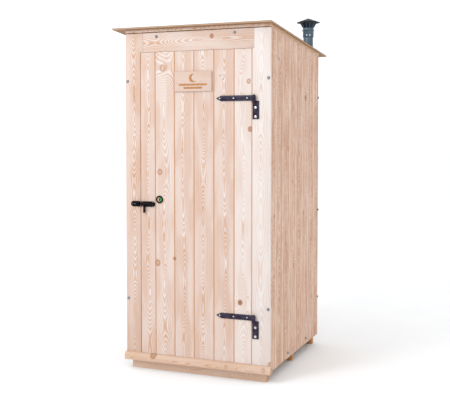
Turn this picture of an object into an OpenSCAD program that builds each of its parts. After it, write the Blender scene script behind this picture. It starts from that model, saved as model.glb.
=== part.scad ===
// Wooden outhouse on three runners: boarded walls, a boarded door hung on two
// hook-and-band hinges, a barrel bolt, a mono-pitch roof and a vent pipe.
// Frame: +X to the right across the front, +Y to the back, +Z up. The origin lies
// on the ground, in the middle of the roof's outline. All sizes are in millimetres.

/* [House] */
// Width across the front wall
house_w = 1000; // [900:10:1300]
// Depth from the front wall's face to the back wall's face
house_d = 1078; // [900:1:1400]
// Height of the front wall's top edge above the ground
front_h = 2195; // [2000:1:2400]
// Fall of the roof from the front wall's face to the back wall's face
roof_fall = 88; // [30:1:150]
// Thickness of the tongue-and-groove boards of walls, door and floor
board_t = 19; // [15:1:28]

/* [Base] */
// Height of a runner, which lifts the walls off the ground
runner_h = 70; // [45:1:120]
// Width of a runner
runner_w = 45; // [35:1:80]
// How far each runner's end stands back from the side wall's face
runner_setback = 31; // [0:1:100]
// Distance of the front runner behind the front wall's face
runner_front_y = 20; // [15:1:60]
// How far the middle runner lies behind the middle of the depth
runner_mid_shift = 30; // [-80:1:80]

/* [Threshold] */
// How far the threshold board stands out in front of the front wall
sill_out = 20; // [5:1:40]
// How far the threshold board runs past each side wall
sill_over = 8; // [0:1:30]
// Height of the threshold's top edge above the wall's bottom edge
sill_top = 38; // [25:1:60]
// How far the threshold hangs below the wall's bottom edge
sill_drop = 12; // [0:1:40]
// Fall of the bevel on the threshold's top
sill_bevel = 14; // [4:1:20]

/* [Doorway] */
// Width of the left stile, on the bolt side
left_stile_w = 105; // [90:1:140]
// Width of the right stile, on the hinge side
right_stile_w = 120; // [110:1:160]
// Height of the rail over the door
top_rail_h = 125; // [80:1:250]
// Inset of the top rail's ends into the stiles
rail_notch = 22; // [10:1:32]
// Gap around the door
door_gap = 6; // [5:0.5:8]
// Gap between the closed door's back and its stop
stop_gap = 5; // [5:0.5:8]
// How far the stop laps behind the door's edge
stop_lap = 19; // [10:1:30]

/* [Door] */
// Height of a ledge on the door's back
ledge_h = 95; // [70:1:140]
// Thickness of the ledges and braces
ledge_t = 19; // [15:1:28]
// Distance of the ledges' ends from the stop
ledge_clear = 10; // [6:1:20]
// Height of the upper and lower ledges' middles from the door's ends
ledge_end = 300; // [200:5:380]
// How far the middle ledge lies below the door's middle
ledge_mid_drop = 120; // [90:5:250]
// Width of the nameplate
plate_w = 258; // [120:1:320]
// Height of the nameplate
plate_h = 126; // [60:1:160]
// Thickness of the nameplate
plate_t = 9; // [4:1:18]
// Height of the nameplate's middle below the door's top
plate_drop = 189; // [120:1:210]

/* [Hinges] */
// Height of the upper hinge strap's middle below the door's top
hinge_drop = 299; // [250:1:500]
// Height of the lower hinge strap's middle above the door's bottom
hinge_rise = 287; // [200:1:500]
// Length of a strap from the pin to its tip
strap_len = 255; // [180:1:400]
// Height of a strap
strap_h = 34; // [24:1:45]
// Thickness of the strap and hook plate
strap_t = 5; // [3:0.5:6]
// Diameter of the hinge pin
pin_d = 12; // [8:0.5:16]
// Wall of the strap's eye around the pin
eye_wall = 5; // [3:0.5:6]
// Running clearance around the hinge pin, on the radius
pin_clear = 0.1; // [0.05:0.01:0.1]
// Distance of the pin's axis to the right of the door's edge
pin_side = 21; // [18:1:26]
// Gap between the strap's eye and the wall's face
eye_gap = 3; // [2:0.5:5]
// Width of the hook plate
hook_w = 42; // [36:1:60]
// Height of the hook plate
hook_h = 112; // [80:1:160]

/* [Bolt and lock] */
// Height of the bolt above the wall's bottom edge
bolt_z = 1018; // [800:1:1300]
// Height of the bolt's plates
bolt_h = 36; // [32:1:50]
// Thickness of the bolt's plates
bolt_plate_t = 3; // [2:0.5:4]
// Length of the housing plate on the door
bolt_plate_len = 101; // [96:1:140]
// Length of the keeper plate on the left stile
keeper_len = 68; // [50:1:80]
// Diameter of the bolt rod
rod_d = 12; // [8:0.5:14]
// Running clearance around the rod, on the radius
rod_clear = 0.1; // [0.05:0.01:0.1]
// Wall of the housing around the rod
barrel_wall = 4; // [3:0.5:5]
// Length of the rod
rod_len = 90; // [84:1:110]
// How far the rod shoots into the keeper
bolt_throw = 22; // [15:1:24]
// Gap between the drawn rod's tip and the keeper
keeper_gap = 3; // [2:0.5:4]
// Clearance around the rod in the keeper's loop
keeper_clear = 1.5; // [1:0.5:3]
// Diameter of the rod's handle
handle_d = 14; // [8:0.5:14]
// Length of the handle below the rod's axis
handle_len = 56; // [35:1:80]
// Outer diameter of the lock's round indicator
lock_d = 50; // [40:1:60]
// Height of the indicator above the bolt
lock_rise = 32; // [10:1:60]
// Distance of the indicator from the door's left edge
lock_side = 133; // [110:1:180]

/* [Roof] */
// Thickness of the roof's boards
deck_t = 18; // [15:1:28]
// Shadow gap between the wall's top edge and the roof's boards
deck_gap = 4; // [2:0.5:10]
// Thickness of the plywood roof sheet
sheet_t = 7; // [5:0.5:15]
// Thickness of the roofing felt
felt_t = 2; // [1:0.5:4]
// Overhang of the roof at the front
over_front = 38; // [36:1:120]
// Overhang of the roof at the left side
over_left = 80; // [20:1:120]
// Overhang of the roof at the right side
over_right = 16; // [12:1:120]
// Overhang of the roof at the back
over_back = 160; // [142:1:200]

/* [Frame] */
// Thickness of the frame timbers, measured into the room
frame_t = 34; // [28:1:45]
// Width of the frame timbers, and their depth at the front and back walls
frame_w = 45; // [38:1:60]
// Depth of the rafters
rafter_h = 70; // [45:1:95]
// Height of the middle wall rails above the floor
rail_z = 1000; // [700:10:1300]

/* [Vent] */
// Outer diameter of the vent pipe
vent_d = 72; // [60:1:75]
// Wall of the vent pipe
vent_wall = 2.4; // [1.8:0.1:4]
// Distance of the pipe's axis from the right wall's face
vent_side = 95; // [90:1:200]
// Gap between the pipe and the back wall
vent_off = 16; // [12:1:20]
// Height of the elbow's mouth above the floor
elbow_z = 160; // [120:5:400]
// Height of the cap's point above the front wall's top edge
vent_rise = 199; // [150:1:400]
// Diameter of the cap's brim
hat_d = 172; // [140:1:220]
// Height of the cap's cone
hat_h = 34; // [20:1:60]
// Diameter of the cowl's mouth under the cap
cowl_d = 122; // [100:1:140]
// Height of the cowl
cowl_h = 33; // [25:1:60]
// Length of the sleeve on the pipe's top
sleeve_len = 68; // [50:1:110]

/* [Hidden] */
$fn = 64;
far = 3000;              // longer than the house in every direction
slope = roof_fall / house_d;
wall_z = runner_h;       // bottom edge of the walls
floor_z = wall_z + board_t;
sill_z = wall_z + sill_top;
deck_z = front_h + deck_gap;
lay_clear = 0.05;        // clearance where sloping faces lie on each other
seat_z = deck_z - lay_clear;    // top of the timbers that carry the deck
sheet_z = deck_z + deck_t + lay_clear;
felt_z = sheet_z + sheet_t + lay_clear;
inner_x0 = board_t;
inner_x1 = house_w - board_t;
inner_y1 = house_d - board_t;
front_frame_y1 = board_t + frame_w;
back_frame_y0 = inner_y1 - frame_w;
door_x0 = left_stile_w + door_gap;
door_x1 = house_w - right_stile_w - door_gap;
door_z0 = sill_z + door_gap;
rail_bottom = front_h - top_rail_h;
door_z1 = rail_bottom - door_gap;
stop_y = board_t + stop_gap;
jamb_x0 = door_x0 + stop_lap;    // inner edge of the left jamb
jamb_x1 = door_x1 - stop_lap;    // inner edge of the right jamb
stop_z = door_z1 - stop_lap;     // lower edge of the lintel
ledge_x0 = jamb_x0 + ledge_clear;
ledge_x1 = jamb_x1 - ledge_clear;
ledge_mid_z = (door_z0 + door_z1) / 2 - ledge_mid_drop;
ledge_low_z = door_z0 + ledge_end;
ledge_top_z = door_z1 - ledge_end;
pin_x = door_x1 + pin_side;
eye_r = pin_d / 2 + pin_clear + eye_wall;
pin_y = -(eye_r + eye_gap);
upper_hinge_z = door_z1 - hinge_drop;
lower_hinge_z = door_z0 + hinge_rise;
hook_gap = 1;            // between the strap's eye and the hook plate's top
gudgeon_h = 14;
rod_z = wall_z + bolt_z;
barrel_r = rod_d / 2 + rod_clear + barrel_wall;
rod_y = -(bolt_plate_t + rod_clear + rod_d / 2 + 2);
keeper_x1 = left_stile_w - 1;
keeper_x0 = keeper_x1 - keeper_len;
keeper_loop = 26;        // length of the keeper's loop along the rod
loop_wall = 3.5;
rod_x0 = keeper_x1 + keeper_gap;
rod_x1 = rod_x0 + rod_len;
handle_x = rod_x0 + bolt_throw + handle_d / 2 + 1;    // stays clear of the keeper when shot
handle_slot_clear = 1.5;
handle_neck_d = rod_d - 2;
housing_x0 = door_x0;
housing_x1 = housing_x0 + bolt_plate_len;
barrel_end = 6;          // plate beyond the barrel, for the end screw
lock_x = door_x0 + lock_side;
lock_z = rod_z + lock_rise;
lock_t = 7;
spindle_d = 8;
vent_x = house_w - vent_side;
elbow_r = vent_off + vent_d / 2;    // the elbow ends at the back wall's outer face
vent_y = house_d + elbow_r;
vent_top = front_h + vent_rise;
hat_z = vent_top - hat_h;
cowl_gap = 5;            // air gap between the cowl's rim and the cap's brim
cowl_z = hat_z - cowl_gap - cowl_h;
hat_wall = 4;
hat_lip = 6;             // width of the brim's flat underside
cap_post_r = cowl_d / 2;
cap_post_top = (hat_h - hat_wall) * (1 - cap_post_r / (hat_d / 2 - hat_lip));
sleeve_wall = 4;
sleeve_z = cowl_z - sleeve_len;
elbow_mouth_z = floor_z + elbow_z;
riser_z = elbow_mouth_z + elbow_r;
vent_hole_r = vent_d / 2 + 2;
origin_x = (house_w + over_right - over_left) / 2;
origin_y = (house_d + over_back - over_front) / 2;

// Underside of a roof layer whose height over the front wall's face is z
function roof_at(z, y) = z - slope * y;

// Everything above a roof plane, for cutting walls and timbers to the slope
module above(z) {
    translate([-far, 0, 0]) rotate([90, 0, 90]) linear_extrude(3 * far)
        polygon([[-far, roof_at(z, -far)], [far, roof_at(z, far)], [far, 2 * far], [-far, 2 * far]]);
}

// A sloping roof layer between two heights, over the given outline
module roof_layer(z, thick, x0, x1, y0, y1) {
    translate([x0, 0, 0]) rotate([90, 0, 90]) linear_extrude(x1 - x0)
        polygon([[y0, roof_at(z, y0)], [y1, roof_at(z, y1)],
                 [y1, roof_at(z + thick, y1)], [y0, roof_at(z + thick, y0)]]);
}

// A box from corner to corner
module block(a, b) {
    translate(a) cube(b - a);
}

// A plate standing on the front wall's face, from x0 to x1 and z0 to z1
module front_plate(x0, x1, z0, z1, thick) {
    block([x0, -thick, z0], [x1, 0, z1]);
}

// A half round plate end around the given point
module plate_end(x, z, r, thick) {
    translate([x, 0, z]) rotate([90, 0, 0]) cylinder(r = r, h = thick);
}

module runner(y0) {
    block([runner_setback, y0, 0], [house_w - runner_setback, y0 + runner_w, runner_h]);
}

module front_runner() { color("peru") runner(runner_front_y); }
module middle_runner() { color("peru") runner((house_d - runner_w) / 2 + runner_mid_shift); }
module back_runner() { color("peru") runner(house_d - runner_w); }

module floor_deck() {
    color("burlywood")
        block([inner_x0, board_t, wall_z], [inner_x1, inner_y1, floor_z]);
}

// The bevelled board under the door; it laps the front runner's face
module threshold() {
    color("burlywood") translate([-sill_over, 0, 0]) rotate([90, 0, 90])
        linear_extrude(house_w + 2 * sill_over)
            polygon([[-sill_out, wall_z - sill_drop], [runner_front_y - 5, wall_z - sill_drop],
                     [runner_front_y - 5, wall_z], [board_t, wall_z],
                     [board_t, sill_z], [0, sill_z], [-sill_out, sill_z - sill_bevel]]);
}

module left_stile() {
    color("wheat") {
        block([0, 0, sill_z], [left_stile_w, board_t, rail_bottom]);
        block([0, 0, rail_bottom], [left_stile_w + rail_notch, board_t, front_h - slope * board_t]);
    }
}

module right_stile() {
    color("wheat") {
        block([house_w - right_stile_w, 0, sill_z], [house_w, board_t, rail_bottom]);
        block([house_w - right_stile_w + rail_notch / 2, 0, rail_bottom],
              [house_w, board_t, front_h - slope * board_t]);
    }
}

module top_rail() {
    color("wheat")
        block([left_stile_w + rail_notch, 0, rail_bottom],
              [house_w - right_stile_w + rail_notch / 2, board_t, front_h - slope * board_t]);
}

module side_wall(x0) {
    difference() {
        block([x0, board_t, wall_z], [x0 + board_t, inner_y1, front_h]);
        above(front_h);
    }
}

module left_wall() { color("burlywood") side_wall(0); }
module right_wall() { color("burlywood") side_wall(house_w - board_t); }

module back_wall() {
    color("burlywood") difference() {
        block([0, inner_y1, wall_z], [house_w, house_d, front_h]);
        above(front_h);
        translate([vent_x, inner_y1 - 1, elbow_mouth_z]) rotate([-90, 0, 0])
            cylinder(r = vent_hole_r, h = board_t + 2);
    }
}

// Front posts: a rebate on each lets the closed door's back stand off the stop
module left_jamb() {
    color("tan") difference() {
        translate([0, 0, floor_z]) linear_extrude(far)
            polygon([[inner_x0, board_t], [left_stile_w, board_t], [left_stile_w, stop_y],
                     [jamb_x0, stop_y], [jamb_x0, front_frame_y1], [inner_x0, front_frame_y1]]);
        above(seat_z);
    }
}

module right_jamb() {
    color("tan") difference() {
        translate([0, 0, floor_z]) linear_extrude(far)
            polygon([[inner_x1, board_t], [inner_x1, front_frame_y1], [jamb_x1, front_frame_y1],
                     [jamb_x1, stop_y], [house_w - right_stile_w, stop_y],
                     [house_w - right_stile_w, board_t]]);
        above(seat_z);
    }
}

module lintel() {
    color("tan") difference() {
        union() {
            block([jamb_x0, stop_y, stop_z], [jamb_x1, front_frame_y1, deck_z]);
            block([jamb_x0, board_t, rail_bottom], [jamb_x1, stop_y, deck_z]);
        }
        above(seat_z);
    }
}

module back_post(x0) {
    difference() {
        block([x0, back_frame_y0, floor_z], [x0 + frame_t, inner_y1, deck_z]);
        above(seat_z);
    }
}

module back_left_post() { color("tan") back_post(inner_x0); }
module back_right_post() { color("tan") back_post(inner_x1 - frame_t); }

// Timbers on the floor along the left, right and back walls and behind the threshold
module sole_plates() {
    color("tan") {
        block([inner_x0, front_frame_y1, floor_z], [inner_x0 + frame_t, back_frame_y0, floor_z + frame_w]);
        block([inner_x1 - frame_t, front_frame_y1, floor_z], [inner_x1, back_frame_y0, floor_z + frame_w]);
        block([inner_x0 + frame_t, back_frame_y0, floor_z], [inner_x1 - frame_t, inner_y1, floor_z + frame_w]);
        block([jamb_x0, stop_y, floor_z], [jamb_x1, front_frame_y1, door_z0 + stop_lap - ledge_clear]);
    }
}

module wall_rails() {
    z0 = floor_z + rail_z;
    z1 = z0 + frame_w;
    color("tan") {
        block([inner_x0, front_frame_y1, z0], [inner_x0 + frame_t, back_frame_y0, z1]);
        block([inner_x1 - frame_t, front_frame_y1, z0], [inner_x1, back_frame_y0, z1]);
        block([inner_x0 + frame_t, back_frame_y0, z0], [inner_x1 - frame_t, inner_y1, z1]);
    }
}

module back_plate() {
    color("tan") difference() {
        block([inner_x0 + frame_t, back_frame_y0, roof_at(seat_z, inner_y1) - rafter_h],
              [inner_x1 - frame_t, inner_y1, deck_z]);
        above(seat_z);
    }
}

// Rafters along both side walls and one in the middle, between front and back frame
module rafters() {
    mid = house_w / 2;
    color("tan") {
        roof_layer(seat_z - rafter_h, rafter_h, inner_x0, inner_x0 + frame_t, front_frame_y1, back_frame_y0);
        roof_layer(seat_z - rafter_h, rafter_h, mid - frame_w / 2, mid + frame_w / 2,
                   front_frame_y1, back_frame_y0);
        roof_layer(seat_z - rafter_h, rafter_h, inner_x1 - frame_t, inner_x1, front_frame_y1, back_frame_y0);
    }
}

module roof_deck() {
    color("burlywood") roof_layer(deck_z, deck_t, 0, house_w, 0, house_d);
}

module vent_passage() {
    translate([vent_x, vent_y, 0]) cylinder(r = vent_hole_r, h = far);
}

module roof_sheet() {
    color("sienna") difference() {
        roof_layer(sheet_z, sheet_t, -over_left, house_w + over_right, -over_front, house_d + over_back);
        vent_passage();
    }
}

module roof_felt() {
    color("dimgray") difference() {
        roof_layer(felt_z, felt_t, -over_left, house_w + over_right, -over_front, house_d + over_back);
        vent_passage();
    }
}

module door_panel() {
    color("wheat") difference() {
        block([door_x0, 0, door_z0], [door_x1, board_t, door_z1]);
        translate([lock_x, -1, lock_z]) rotate([-90, 0, 0])
            cylinder(d = spindle_d + 2, h = board_t + 2);
    }
}

module door_ledges() {
    color("tan") for (z = [ledge_low_z, ledge_mid_z, ledge_top_z])
        block([ledge_x0, board_t, z - ledge_h / 2], [ledge_x1, board_t + ledge_t, z + ledge_h / 2]);
}

// A brace rising from the hinge side between two ledges
module brace(z0, z1) {
    translate([0, board_t + ledge_t, 0]) rotate([90, 0, 0]) linear_extrude(ledge_t)
        polygon([[ledge_x1, z0], [ledge_x1 - ledge_h, z0], [ledge_x0 + 2 * ledge_h, z1],
                 [ledge_x0 + 3 * ledge_h, z1]]);
}

module door_braces() {
    color("tan") {
        brace(ledge_low_z + ledge_h / 2, ledge_mid_z - ledge_h / 2);
        brace(ledge_mid_z + ledge_h / 2, ledge_top_z - ledge_h / 2);
    }
}

module nameplate() {
    z = door_z1 - plate_drop;
    mid = (door_x0 + door_x1) / 2 - 9;
    color("moccasin") front_plate(mid - plate_w / 2, mid + plate_w / 2, z - plate_h / 2, z + plate_h / 2, plate_t);
}

// A strap with an arrow tip and an eye that drops over the hook's pin
module strap(z) {
    tip_x = pin_x - strap_len;
    difference() {
        union() {
            translate([0, 0, z]) rotate([90, 0, 0]) linear_extrude(strap_t)
                polygon([[tip_x, 0], [tip_x + strap_h, -strap_h / 2], [door_x1 - 2, -strap_h / 2],
                         [door_x1 - 2, strap_h / 2], [tip_x + strap_h, strap_h / 2]]);
            block([door_x1 - 8, pin_y + eye_r - strap_t, z - strap_h / 2], [pin_x, pin_y + eye_r, z + strap_h / 2]);
            block([door_x1 - 8, pin_y + eye_r - strap_t, z - strap_h / 2], [door_x1 - 2, 0, z + strap_h / 2]);
            translate([pin_x, pin_y, z - strap_h / 2]) cylinder(r = eye_r, h = strap_h);
        }
        translate([pin_x, pin_y, z - strap_h]) cylinder(r = pin_d / 2 + pin_clear, h = 2 * strap_h);
    }
}

module upper_strap() { color("black") strap(upper_hinge_z); }
module lower_strap() { color("black") strap(lower_hinge_z); }

// A hook plate below the strap, with the pin that carries the eye
module hook(z) {
    top = z - strap_h / 2 - hook_gap;
    plate_x0 = pin_x - 12;
    front_plate(plate_x0, plate_x0 + hook_w, top - hook_h, top, strap_t);
    translate([pin_x, pin_y, top - gudgeon_h]) cylinder(r = pin_d / 2 + 4, h = gudgeon_h);
    block([pin_x - 7, pin_y, top - gudgeon_h], [pin_x + 7, -strap_t / 2, top]);
    translate([pin_x, pin_y, top - gudgeon_h]) cylinder(d = pin_d, h = gudgeon_h + hook_gap + strap_h + 4);
}

module upper_hook() { color("black") hook(upper_hinge_z); }
module lower_hook() { color("black") hook(lower_hinge_z); }

// The raised barrel that guides the rod, on a plate
module barrel(x0, x1) {
    translate([x0, rod_y, rod_z]) rotate([0, 90, 0]) cylinder(r = barrel_r, h = x1 - x0);
    block([x0, rod_y, rod_z - barrel_r], [x1, -bolt_plate_t / 2, rod_z + barrel_r]);
}

module rod_bore(x0, x1) {
    translate([x0, rod_y, rod_z]) rotate([0, 90, 0]) cylinder(r = rod_d / 2 + rod_clear, h = x1 - x0);
}

module bolt_housing() {
    r = bolt_h / 2;
    slot_x1 = handle_x + handle_d / 2 + handle_slot_clear;
    color("black") difference() {
        union() {
            front_plate(housing_x0, housing_x1 - r, rod_z - r, rod_z + r, bolt_plate_t);
            plate_end(housing_x1 - r, rod_z, r, bolt_plate_t);
            barrel(housing_x0 + 4, housing_x1 - barrel_end);
        }
        rod_bore(housing_x0 - 1, rod_x1 + 1);
        block([housing_x0 - 1, rod_y - 2 * barrel_r, rod_z - 2 * barrel_r], [slot_x1, -bolt_plate_t, rod_z]);
    }
}

module bolt_rod() {
    color("black") {
        translate([rod_x0, rod_y, rod_z]) rotate([0, 90, 0]) cylinder(d = rod_d, h = rod_len);
        translate([handle_x, rod_y, rod_z - handle_len]) cylinder(d = handle_neck_d, h = handle_len);
        translate([handle_x, rod_y, rod_z - handle_len]) cylinder(d = handle_d, h = handle_len - rod_d / 2 - 6);
    }
}

// Keeper plate with a square loop that the shot rod enters
module bolt_keeper() {
    r = bolt_h / 2;
    half = rod_d / 2 + keeper_clear;
    loop_x0 = keeper_x1 - keeper_loop;
    color("black") difference() {
        union() {
            front_plate(keeper_x0 + r, keeper_x1, rod_z - r, rod_z + r, bolt_plate_t);
            plate_end(keeper_x0 + r, rod_z, r, bolt_plate_t);
            block([loop_x0, rod_y - half - loop_wall, rod_z - half - loop_wall],
                  [keeper_x1, -bolt_plate_t / 2, rod_z + half + loop_wall]);
        }
        block([loop_x0 - 1, rod_y - half, rod_z - half], [keeper_x1 + 1, -bolt_plate_t, rod_z + half]);
    }
}

// Round indicator with a recess for its coloured disc
module lock_rosette() {
    color("black") translate([lock_x, 0, lock_z]) rotate([90, 0, 0]) rotate_extrude()
        polygon([[0, 0], [lock_d / 2, 0], [lock_d / 2, lock_t - 2], [lock_d / 2 - 2, lock_t],
                 [lock_d / 2 - 6, lock_t], [lock_d / 2 - 6, 3], [0, 3]]);
}

module lock_disc() {
    color("green") translate([lock_x, -3, lock_z]) rotate([90, 0, 0])
        cylinder(r = lock_d / 2 - 6.2, h = 2);
}

// Thumb turn on the door's inner face, with the spindle that reaches the rosette
module thumbturn() {
    back = board_t;
    color("dimgray") {
        translate([lock_x, 0, lock_z]) rotate([-90, 0, 0]) cylinder(d = spindle_d, h = back + 1);
        translate([lock_x, back, lock_z]) rotate([-90, 0, 0]) cylinder(d = lock_d - 6, h = 6);
        translate([lock_x, back + 5, lock_z]) rotate([-90, 0, 0]) cylinder(d = 16, h = 7);
        block([lock_x - 5, back + 11, lock_z - 19], [lock_x + 5, back + 25, lock_z + 19]);
    }
}

// Vent: an elbow through the back wall, then a pipe straight up past the roof
module vent_profile() {
    difference() {
        circle(d = vent_d);
        circle(d = vent_d - 2 * vent_wall);
    }
}

module vent_elbow() {
    color("slategray") {
        translate([vent_x, house_d, riser_z]) rotate([-90, 0, 90])
            rotate_extrude(angle = 90) translate([elbow_r, 0]) vent_profile();
        translate([vent_x, house_d, elbow_mouth_z]) rotate([90, 0, 0]) linear_extrude(board_t) vent_profile();
    }
}

module vent_pipe() {
    color("lightslategray") translate([vent_x, vent_y, riser_z])
        linear_extrude(cowl_z - riser_z) vent_profile();
}

module ring(z0, z1, r_in, r_out) {
    translate([vent_x, vent_y, z0]) difference() {
        cylinder(r = r_out, h = z1 - z0);
        translate([0, 0, -1]) cylinder(r = r_in, h = z1 - z0 + 2);
    }
}

// Socket of the cap around the pipe's top, with a bead near its upper end
module vent_sleeve() {
    r = vent_d / 2;
    color("slategray") {
        ring(sleeve_z, cowl_z, r, r + sleeve_wall);
        ring(cowl_z - 22, cowl_z - 14, r + sleeve_wall / 2, r + sleeve_wall + 5);
    }
}

module vent_cowl() {
    r = vent_d / 2;
    wall = 2.5;
    color("midnightblue") translate([vent_x, vent_y, cowl_z]) rotate_extrude()
        polygon([[r - vent_wall, 0], [r + sleeve_wall, 0], [cowl_d / 2, cowl_h],
                 [cowl_d / 2 - wall, cowl_h], [r + sleeve_wall - wall, 3], [r - vent_wall, 3]]);
}

// Four short posts that stand on the cowl's rim and carry the cap
module cap_posts() {
    color("midnightblue") translate([vent_x, vent_y, hat_z]) for (a = [45 : 90 : 315])
        rotate([0, 0, a]) block([cap_post_r - 5, -3, -cowl_gap], [cap_post_r, 3, cap_post_top - 0.2]);
}

// Conical rain cap
module vent_hat() {
    color("black") translate([vent_x, vent_y, hat_z]) rotate_extrude()
        polygon([[0, hat_h], [0, hat_h - hat_wall], [hat_d / 2 - hat_lip, 0], [hat_d / 2, 0], [hat_d / 2, 2]]);
}

module vent_boot() {
    r = vent_d / 2;
    top = roof_at(felt_z + felt_t, vent_y);
    color("dimgray") difference() {
        translate([vent_x, vent_y, top - 20]) rotate_extrude()
            polygon([[r, 0], [r + 20, 0], [r + 20, 26], [r + 4, 50], [r, 50]]);
        below_roof();
    }
}

// Everything under the roof's finished surface
module below_roof() {
    translate([-far, 0, 0]) rotate([90, 0, 90]) linear_extrude(3 * far)
        polygon([[-far, -far], [far, -far], [far, roof_at(felt_z + felt_t, far)],
                 [-far, roof_at(felt_z + felt_t, -far)]]);
}

// A ring around the pipe with a foot on the back wall
module pipe_clamp(z) {
    ring(z, z + 24, vent_d / 2, vent_d / 2 + 3);
    difference() {
        block([vent_x - 14, house_d, z], [vent_x + 14, vent_y - vent_d / 2 + 8, z + 24]);
        translate([vent_x, vent_y, z - 1]) cylinder(r = vent_d / 2 + 1, h = 26);
    }
}

module pipe_clamps() {
    color("dimgray") for (z = [0.3, 0.8]) pipe_clamp(wall_z + z * (front_h - wall_z));
}

// Moves a piece from the house's corner to the part's own origin
module placed() {
    translate([-origin_x, -origin_y, 0]) children();
}

placed() front_runner();
placed() middle_runner();
placed() back_runner();
placed() floor_deck();
placed() threshold();
placed() left_stile();
placed() right_stile();
placed() top_rail();
placed() left_wall();
placed() right_wall();
placed() back_wall();
placed() left_jamb();
placed() right_jamb();
placed() lintel();
placed() back_left_post();
placed() back_right_post();
placed() sole_plates();
placed() wall_rails();
placed() back_plate();
placed() rafters();
placed() roof_deck();
placed() roof_sheet();
placed() roof_felt();
placed() door_panel();
placed() door_ledges();
placed() door_braces();
placed() nameplate();
placed() upper_strap();
placed() lower_strap();
placed() upper_hook();
placed() lower_hook();
placed() bolt_housing();
placed() bolt_rod();
placed() bolt_keeper();
placed() lock_rosette();
placed() lock_disc();
placed() thumbturn();
placed() vent_elbow();
placed() vent_pipe();
placed() vent_sleeve();
placed() vent_cowl();
placed() cap_posts();
placed() vent_hat();
placed() vent_boot();
placed() pipe_clamps();
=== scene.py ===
"""Visual model of the wooden outhouse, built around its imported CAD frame.

Every length is in metres, in the frame of the CAD part: +X to the right of a
person who faces the door, +Y to the back, +Z up.
"""

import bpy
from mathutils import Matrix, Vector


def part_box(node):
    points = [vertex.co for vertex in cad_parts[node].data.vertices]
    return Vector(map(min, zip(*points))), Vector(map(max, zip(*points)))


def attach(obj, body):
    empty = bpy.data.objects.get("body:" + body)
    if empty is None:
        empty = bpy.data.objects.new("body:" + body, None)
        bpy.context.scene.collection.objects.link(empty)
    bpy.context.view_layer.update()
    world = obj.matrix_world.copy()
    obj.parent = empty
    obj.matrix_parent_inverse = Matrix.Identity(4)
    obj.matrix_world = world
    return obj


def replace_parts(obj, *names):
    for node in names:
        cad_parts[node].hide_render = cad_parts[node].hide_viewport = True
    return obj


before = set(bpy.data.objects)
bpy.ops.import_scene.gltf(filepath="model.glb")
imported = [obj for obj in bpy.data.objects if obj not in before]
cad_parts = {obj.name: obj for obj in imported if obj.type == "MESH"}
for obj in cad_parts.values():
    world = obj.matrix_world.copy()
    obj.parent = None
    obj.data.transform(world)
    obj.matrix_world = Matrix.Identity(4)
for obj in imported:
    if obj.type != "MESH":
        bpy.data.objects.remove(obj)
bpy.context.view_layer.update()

import logging
import math
import random
from collections.abc import Callable, Iterator, Sequence
from contextlib import contextmanager
from dataclasses import dataclass, field
from enum import Enum

import bmesh
import bpy
import numpy as np
from mathutils import Matrix, Vector

LOG = logging.getLogger("outhouse")
Colour = tuple[float, float, float]
Piece = bpy.types.Object
Material = bpy.types.Material
Seat = tuple[Vector, Vector]
Test = Callable[[object], bool]

LOW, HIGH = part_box("left_wall")
CORNER = Vector((LOW.x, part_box("left_stile")[0].y, 0.0))
HOUSE_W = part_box("right_wall")[1].x - CORNER.x
HOUSE_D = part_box("back_wall")[1].y - CORNER.y
BOARD_T = HIGH.x - LOW.x
DECK_LOW, DECK_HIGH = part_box("roof_deck")
DECK_T = 0.018
ROOF_CLEARANCE = 0.0006
BOARD_PITCH = 0.1365
ROOF_SLOPE = (DECK_HIGH.z - DECK_LOW.z - DECK_T) / (DECK_HIGH.y - DECK_LOW.y)
ROOF_UP = Vector((0, ROOF_SLOPE, 1)).normalized()
WALL_TOP = DECK_HIGH.z - DECK_T - ROOF_CLEARANCE
SPARE_LENGTH = 0.03

TO_FRONT, TO_BACK = Vector((0, -1, 0)), Vector((0, 1, 0))
TO_LEFT, TO_RIGHT = Vector((-1, 0, 0)), Vector((1, 0, 0))


def at(x: float, y: float, z: float) -> Vector:
    """Turns a place measured from the house's front left corner into the part's frame."""
    return CORNER + Vector((x, y, z))


class Pick(Enum):
    """What an edit selects."""

    FACES = "FACE"
    EDGES = "EDGE"


class Facing(Enum):
    """The side of the house that a panel or a fastener faces."""

    FRONT = "front"
    RIGHT = "right"
    LEFT = "left"
    BACK = "back"
    UP = "up"

    def turn(self) -> Matrix:
        """Returns the turn that takes -Y, the outside of a panel as made, to this side."""
        turns = {
            Facing.FRONT: Matrix.Identity(3),
            Facing.RIGHT: Matrix.Rotation(math.pi / 2, 3, "Z"),
            Facing.LEFT: Matrix.Rotation(-math.pi / 2, 3, "Z"),
            Facing.BACK: Matrix.Rotation(math.pi, 3, "Z"),
            Facing.UP: Matrix.Rotation(-math.pi / 2, 3, "X"),
        }
        return turns[self].to_4x4()


# --- the bench


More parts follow.
